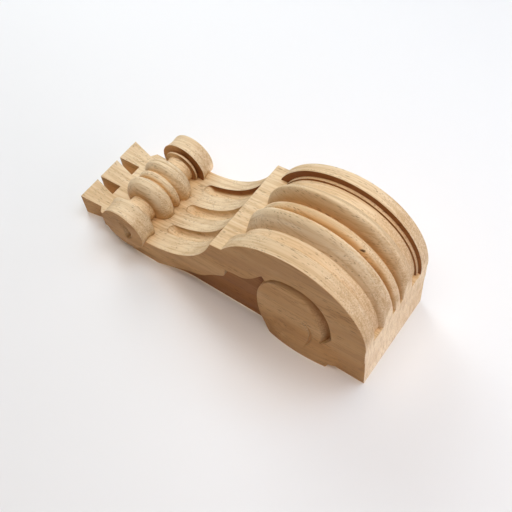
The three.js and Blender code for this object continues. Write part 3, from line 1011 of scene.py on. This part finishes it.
# %% [markdown]
# The photo shows the corbel on its back on a pale table, so the table is the plane behind the
# flat back. It is seen only from its front: from behind, it lets the view through. It throws no
# shadow either, so that the flat back can be lit from behind.

# %% Pale ground behind the back
GROUND_HALF = 1.1
GROUND_GAP = 0.0004
GROUND_COLOUR = (0.88, 0.885, 0.90, 1)


def backing():
    """A square just behind the back, clear to its own back and to shadow rays."""
    mesh = bpy.data.meshes.new("backing")
    square = GROUND_HALF * np.array([(-1, -1), (1, -1), (1, 1), (-1, 1)])
    corners = [(x, GROUND_GAP, z) for x, z in square]
    mesh.from_pydata(corners, [], [(0, 1, 2, 3)])
    ground = bpy.data.objects.new("backing", mesh)
    bpy.context.scene.collection.objects.link(ground)
    material, start = new_material("pale_ground")
    finish = {"Base Color": GROUND_COLOUR, "Roughness": 0.8, "Specular IOR Level": 0.2}
    plain = start.node("ShaderNodeBsdfPrincipled", None, finish)
    clear = start.node("ShaderNodeBsdfTransparent")
    behind = start.node("ShaderNodeNewGeometry", output="Backfacing")
    shadow = start.node("ShaderNodeLightPath", output="Is Shadow Ray")
    unseen = behind.maths("MAXIMUM", shadow)
    mesh.materials.append(
        show(material, start.node("ShaderNodeMixShader", None, {0: unseen, 1: plain, 2: clear}))
    )
    return ground


backing()

# %% [markdown]
# The camera stands where the real one did. Its place and directions were worked out from the
# straight edges and square corners of the carving.

# %% Camera
RIGHT = Vector((-0.582, 0.076, 0.810))
DOWN = Vector((0.701, 0.551, 0.452))
CAMERA_AT = Vector((211.1, -435.8, 203.8))
FOCAL_PIXELS = 785.8
PICTURE_PIXELS = 512
SENSOR = 36

camera = bpy.data.objects.new("camera", bpy.data.cameras.new("camera"))
bpy.context.scene.collection.objects.link(camera)
view = RIGHT.cross(DOWN).normalized()
right = RIGHT.normalized()
up = view.cross(right) * -1
turned = Matrix((right, up, -view)).transposed()
camera.matrix_world = Matrix.Translation(CAMERA_AT * MM) @ turned.to_4x4()
camera.data.lens = FOCAL_PIXELS / PICTURE_PIXELS * SENSOR
camera.data.sensor_width = SENSOR
bpy.context.scene.camera = camera
print("lens, in mm:", round(camera.data.lens, 2))

# %% [markdown]
# The light comes softly from the far side of the part and a little from above its head end, and
# the near side lies in shade. One light stands behind the ground, for the flat back. The room is
# pale to look at and adds next to no light of its own.

# %% Light
LOOK_AT = Vector((0, -30, 0))
# Each light as (name, place in millimetres, size in millimetres, power, colour).
LIGHTS = [
    ("window", (-420, -560, -600), 500, 3.6, (0.90, 0.97, 1.0)),
    ("skylight", (-330, -900, 260), 500, 2.6, (0.60, 0.83, 1.0)),
    ("ceiling", (60, -1100, 120), 900, 8.6, (1.0, 0.88, 0.78)),
    ("end", (-60, -330, 900), 500, 2.3, (1.0, 0.86, 0.86)),
    ("corner", (-520, -480, 620), 500, 0.8, (0.85, 0.85, 1.0)),
    ("behind", (-260, 900, 120), 400, 7.0, (1.0, 0.96, 0.92)),
]
ROOM_COLOUR = (0.965, 0.97, 0.985, 1)
ROOM_LIGHT, ROOM_SEEN = 0.012, 0.83


def soft_light(name, at, size, power, colour):
    """A square area light that faces the middle of the part."""
    lamp = bpy.data.lights.new(name, "AREA")
    lamp.size = size * MM
    lamp.energy = power
    lamp.color = colour
    stand = bpy.data.objects.new(name, lamp)
    stand.location = Vector(at) * MM
    aim = (LOOK_AT - Vector(at)) * MM
    stand.rotation_euler = aim.to_track_quat("-Z", "Y").to_euler()
    bpy.context.scene.collection.objects.link(stand)


for light in LIGHTS:
    soft_light(*light)
world = bpy.data.worlds.new("room")
world.use_nodes = True
room = world.node_tree
background = room.nodes["Background"]
background.inputs[0].default_value = ROOM_COLOUR
looked_at = Socket(room, None).node("ShaderNodeLightPath", output="Is Camera Ray")
room.links.new((looked_at * ROOM_SEEN + ROOM_LIGHT).link, background.inputs[1])
bpy.context.scene.world = world
bpy.context.scene.view_settings.view_transform = "Standard"
print("lights:", len(LIGHTS))
